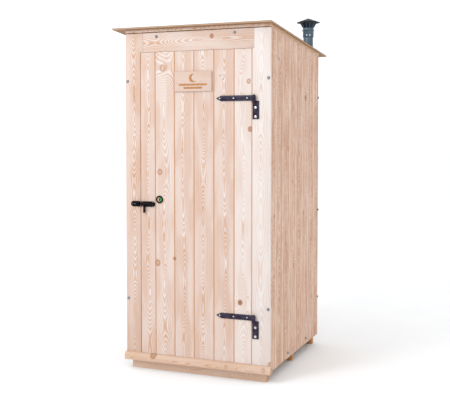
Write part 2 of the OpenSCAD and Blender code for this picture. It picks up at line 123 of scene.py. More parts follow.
class Bench:
    """Blender's own modelling tools, used on one piece at a time."""

    @staticmethod
    def hold(*pieces: Piece) -> Piece:
        """Selects only these pieces and makes the first one active."""
        bpy.ops.object.select_all(action="DESELECT")
        for piece in pieces:
            piece.select_set(True)
        bpy.context.view_layer.objects.active = pieces[0]
        return pieces[0]

    @staticmethod
    @contextmanager
    def editing(piece: Piece) -> Iterator[Piece]:
        """Opens the piece in edit mode for the length of a with block."""
        Bench.hold(piece)
        bpy.ops.object.mode_set(mode="EDIT")
        yield piece
        bpy.ops.object.mode_set(mode="OBJECT")

    @staticmethod
    def pick(piece: Piece, kind: Pick, test: Test) -> None:
        """Selects the faces or edges that pass a test, in edit mode.

        Args:
            piece: The piece that is being edited.
            kind: Faces or edges.
            test: Takes a bmesh face or edge and says whether it is wanted.
        """
        bpy.ops.mesh.select_mode(type=kind.value)
        bpy.ops.mesh.select_all(action="DESELECT")
        mesh = bmesh.from_edit_mesh(piece.data)
        parts = mesh.faces if kind is Pick.FACES else mesh.edges
        for part in [part for part in parts if test(part)]:
            part.select_set(True)
        mesh.select_flush_mode()
        bmesh.update_edit_mesh(piece.data)

    @staticmethod
    def settle(piece: Piece) -> Piece:
        """Writes the piece's place, turn and scale into its mesh."""
        Bench.hold(piece)
        bpy.ops.object.transform_apply(location=True, rotation=True, scale=True)
        return piece

    @staticmethod
    def place(piece: Piece, matrix: Matrix) -> Piece:
        """Moves a piece by a matrix and settles it there."""
        piece.matrix_world = matrix
        bpy.context.view_layer.update()
        return Bench.settle(piece)

    @staticmethod
    def block(name: str, low: Sequence[float], high: Sequence[float]) -> Piece:
        """Adds a box between two corners, ready to be shaped."""
        low, high = Vector(low), Vector(high)
        bpy.ops.object.select_all(action="DESELECT")
        bpy.ops.mesh.primitive_cube_add(size=1.0, location=(low + high) / 2)
        piece = bpy.context.active_object
        piece.name = piece.data.name = name
        piece.scale = high - low
        return Bench.settle(piece)

    @staticmethod
    def drum(name: str, radius: float, height: float, sides: int = 32) -> Piece:
        """Adds a cylinder that stands on the origin, ready to be shaped."""
        bpy.ops.object.select_all(action="DESELECT")
        bpy.ops.mesh.primitive_cylinder_add(
            vertices=sides, radius=radius, depth=height, location=(0, 0, height / 2)
        )
        piece = bpy.context.active_object
        piece.name = piece.data.name = name
        return Bench.settle(piece)

    @staticmethod
    def twin(piece: Piece, matrix: Matrix) -> Piece:
        """Copies a piece, with a mesh of its own, and settles it elsewhere."""
        copy = piece.copy()
        copy.data = piece.data.copy()
        bpy.context.scene.collection.objects.link(copy)
        return Bench.place(copy, matrix)

    @staticmethod
    def join(name: str, pieces: Sequence[Piece]) -> Piece:
        """Joins pieces into one object of that name."""
        first = Bench.hold(*pieces)
        if len(pieces) > 1:
            bpy.ops.object.join()
        first.name = first.data.name = name
        return first

    @staticmethod
    def modify(piece: Piece, kind: str, **settings: object) -> Piece:
        """Adds a modifier with these settings and applies it."""
        Bench.hold(piece)
        modifier = piece.modifiers.new(kind.title(), kind)
        for key, value in settings.items():
            setattr(modifier, key, value)
        bpy.ops.object.modifier_apply(modifier=modifier.name)
        return piece

    @staticmethod
    def ease(piece: Piece, width: float, segments: int = 2, angle: float = 40) -> Piece:
        """Rounds the sharp edges of a piece and shades what is smooth as smooth."""
        if width > 0:
            Bench.modify(
                piece, "BEVEL", width=width, segments=segments, limit_method="ANGLE",
                angle_limit=math.radians(angle), use_clamp_overlap=True,
            )
        Bench.hold(piece)
        bpy.ops.object.shade_smooth_by_angle(angle=math.radians(35))
        return piece

    @staticmethod
    def from_frame(node: str, name: str, ease: float = 0.0008, segments: int = 2) -> Piece:
        """Copies a CAD node as a clean mesh with rounded edges.

        Args:
            node: The CAD node, which this copy then stands for.
            name: The new piece's name.
            ease: The radius that its sharp edges get.
            segments: How many faces make up each rounded edge.

        Returns:
            The new piece, which still has to be dressed and to ride on a body.
        """
        piece = bpy.data.objects.new(name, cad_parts[node].data.copy())
        piece.data.name = name
        bpy.context.scene.collection.objects.link(piece)
        piece.data.materials.clear()
        with Bench.editing(piece):
            bpy.ops.mesh.select_all(action="SELECT")
            bpy.ops.mesh.remove_doubles(threshold=0.00002)
            bpy.ops.mesh.dissolve_limited(angle_limit=math.radians(0.6))
        Bench.ease(piece, ease, segments)
        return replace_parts(piece, node)

    @staticmethod
    def cut_above(piece: Piece, point: Vector, normal: Vector) -> None:
        """Cuts off and closes all of a piece that lies on the normal's side of a plane."""
        with Bench.editing(piece):
            bpy.ops.mesh.select_all(action="SELECT")
            bpy.ops.mesh.bisect(plane_co=point, plane_no=normal, use_fill=True, clear_outer=True)


def finish(piece: Piece, material: Material, body: str, slot: str) -> Piece:
    """Dresses a finished piece and fixes it to its body.

    Args:
        piece: The piece, whose mesh is final.
        material: The finish of its whole surface.
        body: The CAD body that it moves with.
        slot: The material slot that it belongs to; not used.

    Returns:
        The same piece.
    """
    if not piece.data.materials:
        piece.data.materials.append(material)
    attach(piece, body)
    LOG.info("%s on %s, %d faces", piece.name, body, len(piece.data.polygons))
    return piece


# --- the grain


NEARLY_SQUARE = 0.93


@dataclass(frozen=True)
class Grain:
    """How the grain runs through the boards of one piece.

    Each board gets the attributes grain (across, depth and along, in metres
    from its own middle), along (the direction of its fibres), tone (how light
    it is, from 0 to 1) and ring (the width of its growth rings, in metres).
    The boards take the tones and rings in turn.
    """

    seed: str
    tones: Sequence[float] = (0.5,)
    rings: Sequence[float] = (0.005, 0.0062, 0.0046)
    spread: float = 0.25

    def lay(self, piece: Piece) -> Piece:
        """Writes the attributes of every board of a piece, whose mesh is final."""
        mesh = piece.data
        points = np.empty(len(mesh.vertices) * 3)
        mesh.vertices.foreach_get("co", points)
        points = points.reshape(-1, 3)
        grain, along = np.zeros_like(points), np.zeros_like(points)
        tone, ring = np.zeros(len(points)), np.zeros(len(points))
        rng = random.Random(self.seed)
        for number, island in enumerate(self._islands(mesh)):
            own = points[island]
            middle = (own.max(0) + own.min(0)) / 2
            axes = self._axes(own - middle)
            local = (own - middle) @ axes.T
            local[:, 2] += rng.uniform(3, 97)
            local[:, 0] += rng.uniform(-0.012, 0.012)
            grain[island] = local
            along[island] = axes[2]
            base = self.tones[number % len(self.tones)]
            tone[island] = base + self.spread * rng.uniform(-0.5, 0.5)
            ring[island] = self.rings[number % len(self.rings)]
        self._write(mesh, "grain", "FLOAT_VECTOR", "vector", grain)
        self._write(mesh, "along", "FLOAT_VECTOR", "vector", along)
        self._write(mesh, "tone", "FLOAT", "value", tone)
        self._write(mesh, "ring", "FLOAT", "value", ring)
        return piece

    @staticmethod
    def _write(mesh: bpy.types.Mesh, name: str, kind: str, key: str, data: np.ndarray) -> None:
        """Writes one attribute on the mesh's points."""
        layer = mesh.attributes.new(name, kind, "POINT")
        layer.data.foreach_set(key, data.astype(np.float32).ravel())

    @staticmethod
    def _islands(mesh: bpy.types.Mesh) -> list[np.ndarray]:
        """Returns the point numbers of each separate board, in a fixed order."""
        root = list(range(len(mesh.vertices)))

        def find(point: int) -> int:
            """Follows a point to the first point of its board."""
            while root[point] != point:
                root[point] = root[root[point]]
                point = root[point]
            return point

        for edge in mesh.edges:
            first, second = (find(v) for v in edge.vertices)
            root[max(first, second)] = min(first, second)
        boards: dict[int, list[int]] = {}
        for point in range(len(root)):
            boards.setdefault(find(point), []).append(point)
        return [np.array(points) for points in boards.values()]

    @staticmethod
    def _axes(points: np.ndarray) -> np.ndarray:
        """Returns a board's across, depth and along axes, squared up where it nearly is."""
        values, vectors = np.linalg.eigh(points.T @ points)
        order = np.argsort(values)
        axes = [vectors[:, order[1]], vectors[:, order[0]], vectors[:, order[2]]]
        size = points.max(0) - points.min(0)
        ranked = np.argsort(size)
        if abs(axes[2]).max() > NEARLY_SQUARE:
            axes = [np.eye(3)[ranked[1]], np.eye(3)[ranked[0]], np.eye(3)[ranked[2]]]
        return np.array([axis * (1 if axis[abs(axis).argmax()] > 0 else -1) for axis in axes])


# --- shader sums


class Tap:
    """A shader value that is worked with as a number."""

    def __init__(self, graph: "Graph", socket: bpy.types.NodeSocket) -> None:
        """Wraps an output socket of a graph."""
        self.graph, self.socket = graph, socket

    def __add__(self, other: "Tap | float") -> "Tap":
        """Adds."""
        return self.graph.math("ADD", self, other)

    def __sub__(self, other: "Tap | float") -> "Tap":
        """Takes away."""
        return self.graph.math("SUBTRACT", self, other)

    def __rsub__(self, other: float) -> "Tap":
        """Takes this away from a number."""
        return self.graph.math("SUBTRACT", other, self)

    def __mul__(self, other: "Tap | float") -> "Tap":
        """Multiplies."""
        return self.graph.math("MULTIPLY", self, other)

    def __truediv__(self, other: "Tap | float") -> "Tap":
        """Divides."""
        return self.graph.math("DIVIDE", self, other)

    __radd__ = __add__


class Graph:
    """The node tree of one finish."""

    def __init__(self, name: str) -> None:
        """Starts a material of that name with its principled shader."""
        self.material = bpy.data.materials.new(name)
        self.material.use_nodes = True
        self.tree = self.material.node_tree
        self.shader = self.tree.nodes["Principled BSDF"]

    def node(
        self, kind: str, settings: dict[str, object], inputs: dict[object, object]
    ) -> bpy.types.Node:
        """Adds a node, with its settings first and then its sockets' values or links."""
        node = self.tree.nodes.new(kind)
        for key, value in settings.items():
            setattr(node, key, value)
        for key, value in inputs.items():
            self.feed(node.inputs[key], value)
        return node

    def feed(self, socket: bpy.types.NodeSocket, value: object) -> None:
        """Links a tap to a socket, or sets the socket's value."""
        if isinstance(value, Tap):
            self.tree.links.new(value.socket, socket)
        elif socket.type == "RGBA" and len(value) == 3:
            socket.default_value = (*value, 1.0)
        else:
            socket.default_value = value

    def math(self, operation: str, *values: "Tap | float") -> Tap:
        """Works out one sum of values."""
        node = self.node("ShaderNodeMath", {"operation": operation}, dict(enumerate(values)))
        return Tap(self, node.outputs[0])

    def vector(self, operation: str, *values: object) -> Tap:
        """Works out one sum of vectors."""
        node = self.node("ShaderNodeVectorMath", {"operation": operation}, dict(enumerate(values)))
        return Tap(self, node.outputs["Value" if operation == "DOT_PRODUCT" else "Vector"])

    def attribute(self, name: str, output: str = "Vector") -> Tap:
        """Reads an attribute of the mesh."""
        node = self.node("ShaderNodeAttribute", {"attribute_name": name}, {})
        return Tap(self, node.outputs[output])

    def place(self, output: str = "Object") -> Tap:
        """Reads the place of a point in the part's frame, or the surface's own normal."""
        return Tap(self, self.node("ShaderNodeTexCoord", {}, {}).outputs[output])

    def split(self, vector: Tap) -> list[Tap]:
        """Returns the three parts of a vector."""
        node = self.node("ShaderNodeSeparateXYZ", {}, {0: vector})
        return [Tap(self, output) for output in node.outputs]

    def gather(self, x: object, y: object, z: object) -> Tap:
        """Makes a vector of three values."""
        return Tap(self, self.node("ShaderNodeCombineXYZ", {}, {0: x, 1: y, 2: z}).outputs[0])

    def noise(
        self, vector: Tap, scale: float = 1.0, detail: float = 2.0, rough: float = 0.5
    ) -> Tap:
        """Returns soft noise from 0 to 1 around 0.5."""
        node = self.node(
            "ShaderNodeTexNoise", {},
            {"Vector": vector, "Scale": scale, "Detail": detail, "Roughness": rough},
        )
        return Tap(self, node.outputs[0])

    def drawn(
        self, vector: Tap, scales: Sequence[float], detail: float = 2.0, rough: float = 0.5
    ) -> Tap:
        """Returns soft noise that is drawn out by a scale of its own along each axis."""
        return self.noise(self.vector("MULTIPLY", vector, scales), 1.0, detail, rough)

    def length(self, side: Tap, rise: Tap) -> Tap:
        """Returns the length of the long side of a right triangle."""
        return self.math("SQRT", side * side + rise * rise)

    def cells(self, vector: Tap, scale: float) -> Tap:
        """Returns the distance to the nearest of many scattered points."""
        node = self.node("ShaderNodeTexVoronoi", {}, {"Vector": vector, "Scale": scale})
        return Tap(self, node.outputs["Distance"])

    def ramp(
        self, value: Tap, low: float, high: float, first: float = 0.0, last: float = 1.0
    ) -> Tap:
        """Eases from one value to another while the input goes from low to high."""
        node = self.node(
            "ShaderNodeMapRange", {"interpolation_type": "SMOOTHSTEP"},
            {0: value, 1: low, 2: high, 3: first, 4: last},
        )
        return Tap(self, node.outputs[0])

    def mix(self, share: object, first: object, second: object) -> Tap:
        """Mixes two colours."""
        node = self.node("ShaderNodeMix", {"data_type": "RGBA"}, {0: share, 6: first, 7: second})
        return Tap(self, node.outputs[2])

    def bump(self, height: Tap, strength: float, distance: float) -> Tap:
        """Turns a height into a normal."""
        node = self.node(
            "ShaderNodeBump", {}, {"Strength": strength, "Distance": distance, "Height": height}
        )
        return Tap(self, node.outputs[0])

    def coat(self, **inputs: object) -> Material:
        """Feeds the principled shader, with underscores for spaces, and returns the material."""
        for key, value in inputs.items():
            self.feed(self.shader.inputs[key.replace("_", " ")], value)
        return self.material


# --- finishes


@dataclass(frozen=True)
class Knot:
    """A knot that shows on a face, measured from the house's front left corner."""

    across: float
    up: float
    radius: float
    dark: float = 1.0


@dataclass(frozen=True)
class SoftWood:
    """Planed softwood with growth rings, fibres and knots.

    The axis says which way across a face the named knots are measured: 0 for
    the front, 1 for a side.
    """

    name: str
    pale: Colour = (0.585, 0.45, 0.385)
    bright: Colour = (0.7, 0.655, 0.635)
    late: Colour = (0.475, 0.24, 0.12)
    blush: Colour = (0.56, 0.395, 0.325)
    heart: Colour = (0.35, 0.14, 0.055)
    core: Colour = (0.12, 0.05, 0.025)
    end: Colour = (0.4, 0.215, 0.1)
    # Colour painted into the grooves: it stands for their shade and bounced light, and on the side
    # walls for the seams' highlights.
    painted_groove_light: Colour = (0.6, 0.3, 0.13)
    end_share: float = 0.45
    mottle: float = 0.0
    pin_knots: float = 0.0
    axis: int = 0
    knots: tuple[Knot, ...] = ()
    knot_height: float = 1.15
    knot_swell: float = 0.05
    pith: float = 0.034
    wander: float = 0.17
    lean: float = 0.04
    wobble: float = 0.9

    def _named_knots(self, g: Graph) -> tuple[Tap, Tap, Tap]:
        """Returns the knots' swell of the rings, and the masks of their hearts and cores."""
        parts = g.split(g.place())
        across, up = parts[self.axis], parts[2]
        swell: Tap | float = 0.0
        mask: Tap | float = 0.0
        core: Tap | float = 0.0
        origin = CORNER[self.axis]
        for knot in self.knots:
            side = (across - (origin + knot.across)) / knot.radius
            rise = (up - knot.up) / (knot.radius * self.knot_height)
            near = g.length(side, rise)
            spread = (side * side * 0.1 + rise * rise * 0.035) * -1.0
            swell = swell + g.math("EXPONENT", spread) * self.knot_swell
            heart = g.ramp(near, 0.35, 0.8, 0.55, 0.95) * g.ramp(near, 0.85, 1.15, 1.0, 0.0)
            mask = g.math("MAXIMUM", mask, heart * knot.dark)
            depth = max(0.0, knot.dark * 4.0 - 3.2)
            core = g.math("MAXIMUM", core, g.ramp(near, 0.25, 0.75, 1.0, 0.0) * depth)
        return swell, mask, core

    def _pin_knots(self, g: Graph, grain: Tap) -> tuple[Tap, Tap]:
        """Returns the swell and the mask of small knots that are scattered at random."""
        away = g.cells(g.vector("MULTIPLY", grain, (7.0, 0.0, 2.3)), 1.0)
        size = 0.085 * self.pin_knots
        return g.ramp(away, 0.0, size * 4.5, 0.035, 0.0), g.ramp(away, size * 0.75, size, 0.9, 0.0)

    def material(self) -> Material:
        """Builds the finish."""
        g = Graph(self.name)
        grain = g.attribute("grain")
        across, depth, along = g.split(grain)
        swell: Tap | float = 0.0
        mask: Tap | float = 0.0
        core: Tap | float = 0.0
        if self.knots:
            swell, mask, core = self._named_knots(g)
        if self.pin_knots:
            more, spots = self._pin_knots(g, grain)
            swell, mask = swell + more, g.math("MAXIMUM", mask, spots)
        tone, ring = g.attribute("tone", "Fac"), g.attribute("ring", "Fac")
        drift = g.noise(g.gather(0.0, 0.0, along * 2.2), 1.0, 1.0)
        lean = g.noise(g.gather(3.0, 0.0, along * 1.1), 1.0, 0.0)
        wobble = g.drawn(grain, (24.0, 24.0, 13.0))
        side = across - (lean - 0.5) * self.lean
        far = depth + (self.pith + (drift - 0.5) * self.wander)
        radius = g.length(side, far)
        phase = g.math("FRACT", (radius + swell) / ring + wobble * self.wobble)
        late = g.ramp(phase, 0.5, 0.92) * g.ramp(phase, 0.94, 1.0, 1.0, 0.0)
        early = g.ramp(phase, 0.08, 0.3) * g.ramp(phase, 0.36, 0.6, 1.0, 0.0)
        strong = g.drawn(grain, (14.0, 14.0, 3.2), 2.0)
        streak = g.drawn(grain, (46.0, 46.0, 1.1), 3.0, 0.6)
        fibre = g.drawn(grain, (900.0, 900.0, 22.0), 2.0)
        face = g.mix(g.ramp(streak, 0.35, 0.65), self.pale, self.blush)
        face = g.mix(g.ramp(tone, 0.5, 1.0, 0.0, 0.7), face, self.bright)
        face = g.mix(g.ramp(tone, 0.0, 0.5, 0.34, 0.0), face, self.late)
        if self.mottle:
            spots = g.drawn(grain, (34.0, 34.0, 8.0), 2.0, 0.6)
            face = g.mix(g.ramp(spots, 0.48, 0.66, 0.0, self.mottle), face, self.late)
            face = g.mix(g.ramp(spots, 0.46, 0.34, 0.0, self.mottle), face, self.bright)
        face = g.mix(early * g.ramp(strong, 0.38, 0.6, 0.85, 0.3), face, self.bright)
        share = late * g.ramp(strong, 0.4, 0.62, 0.12, 0.9) * g.ramp(tone, 0.5, 1.0, 1.0, 0.45)
        face = g.mix(share, face, self.late)
        face = g.mix(g.ramp(fibre, 0.3, 0.7, 0.0, 0.1), face, self.late)
        face = g.mix(mask, face, self.heart)
        face = g.mix(core, face, self.core)
        normal = g.place("Normal")
        facing = g.math("ABSOLUTE", g.vector("DOT_PRODUCT", normal, g.attribute("along")))
        ended = g.ramp(facing, 0.6, 0.9)
        face = g.mix(ended * (self.end_share + late * 0.35), face, self.end)
        # Painted shade and light in the grooves and round the door: the marked points take the
        # groove colour.
        groove_light_mask = g.attribute("groove_light_mask", "Fac")
        face = g.mix(g.math("SQRT", groove_light_mask) * 0.9, face, self.painted_groove_light)
        height = late * 0.35 + fibre * 0.5 + streak * 0.2
        rough = 0.6 - late * 0.1 + fibre * 0.08
        return g.coat(
            Base_Color=face, Roughness=rough, Normal=g.bump(height, 0.22, 0.0006),
            Specular_IOR_Level=0.28,
        )


@dataclass(frozen=True)
class RoofPly:
    """Brown plywood whose layers show on its edges."""

    name: str
    face: Colour = (0.3, 0.165, 0.09)
    edge: Colour = (0.48, 0.305, 0.19)
    streak: Colour = (0.36, 0.215, 0.125)
    layer: float = 0.0014

    def material(self) -> Material:
        """Builds the finish."""
        g = Graph(self.name)
        place = g.place()
        _, y, z = g.split(place)
        level = z + y * ROOF_SLOPE
        layer = g.math("PINGPONG", level, self.layer) / self.layer
        grain = g.drawn(place, (3.0, 60.0, 60.0), 3.0, 0.6)
        fine = g.drawn(place, (30.0, 700.0, 700.0), 2.0)
        normal = g.split(g.place("Normal"))
        flat = g.ramp(g.math("ABSOLUTE", normal[2]), 0.5, 0.9)
        edge = g.mix(g.ramp(layer, 0.3, 0.7, 0.0, 0.4), self.edge, self.face)
        skin = g.mix(g.ramp(grain, 0.3, 0.7), self.face, self.streak)
        colour = g.mix(flat, edge, skin)
        colour = g.mix(g.ramp(fine, 0.3, 0.7, 0.0, 0.12), colour, self.edge)
        return g.coat(
            Base_Color=colour, Roughness=0.55 + fine * 0.15,
            Normal=g.bump(fine * 0.6 + layer * 0.4, 0.2, 0.0004), Specular_IOR_Level=0.3,
        )


@dataclass(frozen=True)
class Felt:
    """Mineral roofing felt: dark bitumen under grey and green slate grit."""

    name: str
    bitumen: Colour = (0.018, 0.019, 0.02)
    slate: Colour = (0.115, 0.125, 0.12)
    green: Colour = (0.07, 0.115, 0.085)
    dust: Colour = (0.2, 0.195, 0.18)

    def material(self) -> Material:
        """Builds the finish."""
        g = Graph(self.name)
        place = g.place()
        grit = g.noise(place, 1400.0, 2.0, 0.7)
        hue = g.noise(place, 900.0, 1.0)
        patch = g.noise(place, 5.0, 3.0)
        colour = g.mix(g.ramp(grit, 0.38, 0.62), self.bitumen, self.slate)
        colour = g.mix(g.ramp(hue, 0.52, 0.7, 0.0, 0.6), colour, self.green)
        colour = g.mix(g.ramp(patch, 0.35, 0.7, 0.0, 0.14), colour, self.dust)
        normal = g.bump(grit, 0.6, 0.001)
        return g.coat(Base_Color=colour, Roughness=0.92 - grit * 0.12, Normal=normal)


@dataclass(frozen=True)
class Coated:
    """Powder-coated or plated metal with fine texture and soft clouds of a second colour."""

    name: str
    colour: Colour
    second: Colour
    metal: float
    rough: float
    shine: float = 0.5
    grain: float = 900.0
    bump: float = 0.12

    def material(self) -> Material:
        """Builds the finish."""
        g = Graph(self.name)
        place = g.place()
        fine = g.noise(place, self.grain, 2.0, 0.6)
        cloud = g.noise(place, 38.0, 3.0)
        colour = g.mix(g.ramp(cloud, 0.35, 0.68), self.colour, self.second)
        colour = g.mix(g.ramp(fine, 0.45, 0.75, 0.0, 0.25), colour, self.second)
        return g.coat(
            Base_Color=colour, Metallic=self.metal, Roughness=self.rough + (cloud - 0.5) * 0.25,
            Normal=g.bump(fine, self.bump, 0.0004), Specular_IOR_Level=self.shine,
        )


@dataclass(frozen=True)
class Moulded:
    """Moulded plastic or rubber with faint flow marks and patches of dust."""

    name: str
    colour: Colour
    light: Colour
    rough: float
    shine: float = 0.3

    def material(self) -> Material:
        """Builds the finish."""
        g = Graph(self.name)
        place = g.place()
        flow = g.drawn(place, (24.0, 24.0, 2.2), 3.0)
        pits = g.noise(place, 1100.0, 1.0)
        dust = g.noise(place, 16.0, 4.0, 0.6)
        colour = g.mix(g.ramp(flow, 0.3, 0.72, 0.0, 0.7), self.colour, self.light)
        colour = g.mix(g.ramp(dust, 0.5, 0.8, 0.0, 0.12), colour, (0.25, 0.27, 0.28))
        return g.coat(
            Base_Color=colour, Roughness=self.rough + (dust - 0.5) * 0.2,
            Normal=g.bump(pits, 0.1, 0.0003), Specular_IOR_Level=self.shine,
        )


EDGE = 0.03


@dataclass(frozen=True)
class LockFace:
    """The indicator's disc: black, with a pale crescent of painted highlight and a green field."""

    name: str
    middle: tuple[float, float]
    reach: float
    black: Colour = (0.006, 0.005, 0.007)
    painted_glint: Colour = (0.62, 0.44, 0.26)
    green: Colour = (0.006, 0.24, 0.01)

    def material(self) -> Material:
        """Builds the finish."""
        g = Graph(self.name)
        x, _, z = g.split(g.place())
        side = (x - self.middle[0]) / self.reach
        rise = (z - self.middle[1]) / self.reach
        cloud = g.noise(g.place(), 300.0, 2.0)

        def round_mask(shift: float, size: float) -> Tap:
            """Returns a disc that is moved sideways."""
            moved = side - shift
            return g.ramp(g.length(moved, rise), size - EDGE, size + EDGE, 1.0, 0.0)

        # The pale crescent is a painted highlight on the disc's left.
        crescent = round_mask(0.08, 0.72) * (1.0 - round_mask(0.48, 0.76))
        lens = round_mask(1.16, 0.92) * round_mask(0.06, 0.84)
        colour = g.mix(crescent, self.black, self.painted_glint)
        colour = g.mix(lens, colour, self.green)
        colour = g.mix(g.ramp(cloud, 0.4, 0.7, 0.0, 0.15), colour, (0.05, 0.05, 0.05))
        normal = g.bump(cloud, 0.05, 0.0002)
        return g.coat(Base_Color=colour, Roughness=0.28 + cloud * 0.12, Normal=normal)


@dataclass(frozen=True)
class PaleFloor:
    """The plain floor that the house stands on."""

    name: str = "studio_floor"

    def material(self) -> Material:
        """Builds the finish."""
        g = Graph(self.name)
        soft = g.noise(g.place(), 3.0, 2.0)
        return g.coat(
            Base_Color=g.mix(g.ramp(soft, 0.3, 0.7), (0.835, 0.848, 0.858), (0.85, 0.862, 0.872)),
            Roughness=0.9, Specular_IOR_Level=0.1,
        )


@dataclass(frozen=True)
class Finishes:
    """Every finish of the building, made once."""

    door: Material
    front: Material
    side: Material
    plain: Material
    timber: Material
    deck: Material
    sill: Material
    runner: Material
    plate: Material
    burnt: Material
    ply: Material
    felt: Material
    iron: Material
    black: Material
    zinc: Material
    steel: Material
    pipe: Material
    cap: Material
    hat: Material
    rubber: Material

    @classmethod
    def make(cls) -> "Finishes":
        """Builds all the finishes."""
        door_knots = (
            Knot(0.267, 1.965, 0.021, 0.6), Knot(0.857, 1.868, 0.014, 0.8),
            Knot(0.867, 1.574, 0.016, 0.9),
            Knot(0.246, 1.299, 0.018, 0.75), Knot(0.228, 0.708, 0.019, 0.8),
            Knot(0.35, 0.742, 0.011, 1.0),
            Knot(0.801, 0.491, 0.016, 1.0),
        )
        front_knots = (Knot(0.61, 2.155, 0.014, 0.9), Knot(0.998, 0.119, 0.014, 0.8))
        sill_knots = (
            Knot(0.2, 0.104, 0.023, 0.85), Knot(0.714, 0.08, 0.012, 0.5),
            Knot(0.962, 0.084, 0.013, 0.5),
        )
        side_knots = (
            Knot(0.156, 2.013, 0.01), Knot(0.748, 1.794, 0.019), Knot(0.429, 1.777, 0.009, 0.7),
            Knot(0.178, 1.584, 0.008, 0.6), Knot(0.347, 1.45, 0.015, 0.7),
            Knot(0.455, 1.23, 0.009, 0.7),
            Knot(0.071, 1.031, 0.011, 0.9), Knot(0.712, 0.999, 0.012, 0.9),
            Knot(0.48, 0.668, 0.015, 0.8),
        )
        # The side and back walls and the floor take a darker, more orange copy of the front's wood:
        # painted shade of the sides that turn from the light. Their pale groove colour paints the
        # highlights along the side walls' seams.
        shaded_side_wood = {
            "pale": (0.605, 0.405, 0.305), "blush": (0.52, 0.305, 0.205),
            "bright": (0.69, 0.54, 0.455),
            "late": (0.4, 0.19, 0.1), "painted_groove_light": (0.93, 0.85, 0.79), "mottle": 0.45,
        }
        recipes = {
            "door": SoftWood("pine_door", knots=door_knots),
            "front": SoftWood("pine_front", knots=front_knots),
            "side": SoftWood("pine_side", axis=1, knots=side_knots, **shaded_side_wood),
            "plain": SoftWood("pine_plain", pin_knots=1.0, **shaded_side_wood),
            "timber": SoftWood(
                "frame_timber", pale=(0.6, 0.455, 0.33), blush=(0.56, 0.38, 0.25), pin_knots=0.8
            ),
            # The deck's wood, and still more its end grain, is lighter than the walls' wood:
            # painted light on the deck's edge band, which lies in the shade of the roof sheet.
            "deck": SoftWood(
                "pine_deck", pale=(0.68, 0.52, 0.42), blush=(0.64, 0.47, 0.36),
                end=(0.76, 0.52, 0.365),
                bright=(0.76, 0.64, 0.56), painted_groove_light=(0.48, 0.29, 0.16), end_share=0.8, pin_knots=0.7,
            ),
            "sill": SoftWood(
                "pine_sill", pale=(0.6, 0.435, 0.35), blush=(0.58, 0.39, 0.29),
                bright=(0.64, 0.51, 0.42),
                late=(0.5, 0.26, 0.12), end=(0.47, 0.26, 0.12), end_share=0.75, knots=sill_knots,
            ),
            # The middle and back runners take a darker, more orange copy of the sill's wood:
            # painted shade under the house.
            "runner": SoftWood(
                "runner_timber", pale=(0.46, 0.25, 0.11), blush=(0.42, 0.21, 0.085),
                bright=(0.52, 0.33, 0.18),
                late=(0.36, 0.16, 0.06), end=(0.47, 0.245, 0.105), end_share=0.85,
            ),
            "plate": SoftWood(
                "plate_wood", pale=(0.56, 0.415, 0.345), blush=(0.54, 0.38, 0.3),
                late=(0.52, 0.34, 0.24),
                bright=(0.6, 0.48, 0.42), end=(0.48, 0.24, 0.09), end_share=0.9,
            ),
            "burnt": SoftWood(
                "routed_wood", pale=(0.43, 0.2, 0.085), blush=(0.4, 0.18, 0.07),
                late=(0.36, 0.15, 0.06),
                bright=(0.45, 0.22, 0.1),
            ),
            "ply": RoofPly("roof_plywood"),
            "felt": Felt("roof_felt"),
            "iron": Coated(
                "black_iron", (0.012, 0.006, 0.018), (0.038, 0.026, 0.052), 0.0, 0.42, 0.22
            ),
            "black": Coated(
                "latch_black", (0.002, 0.0015, 0.0025), (0.009, 0.006, 0.01), 0.0, 0.42, 0.07
            ),
            "zinc": Coated(
                "zinc_heads", (0.7, 0.72, 0.74), (0.48, 0.5, 0.53), 1.0, 0.28, bump=0.05
            ),
            "steel": Coated("grey_steel", (0.3, 0.31, 0.33), (0.17, 0.18, 0.2), 1.0, 0.38),
            "pipe": Moulded("vent_plastic", (0.055, 0.09, 0.12), (0.115, 0.16, 0.195), 0.34, 0.4),
            # The cowl and its posts take a much darker copy of the pipe's blue plastic: painted
            # shade under the hat.
            "cap": Moulded("cowl_plastic", (0.006, 0.012, 0.024), (0.018, 0.028, 0.046), 0.36, 0.2),
            "hat": Moulded("cap_plastic", (0.004, 0.005, 0.009), (0.014, 0.018, 0.024), 0.5, 0.12),
            "rubber": Moulded("boot_rubber", (0.016, 0.016, 0.017), (0.035, 0.035, 0.036), 0.62),
        }
        return cls(**{name: recipe.material() for name, recipe in recipes.items()})


# --- boards


BACK_CHAMFER = 0.0008
TONGUE_REACH, GROOVE_DEPTH = 0.0055, 0.0062
SAME_PLACE = 1e-5


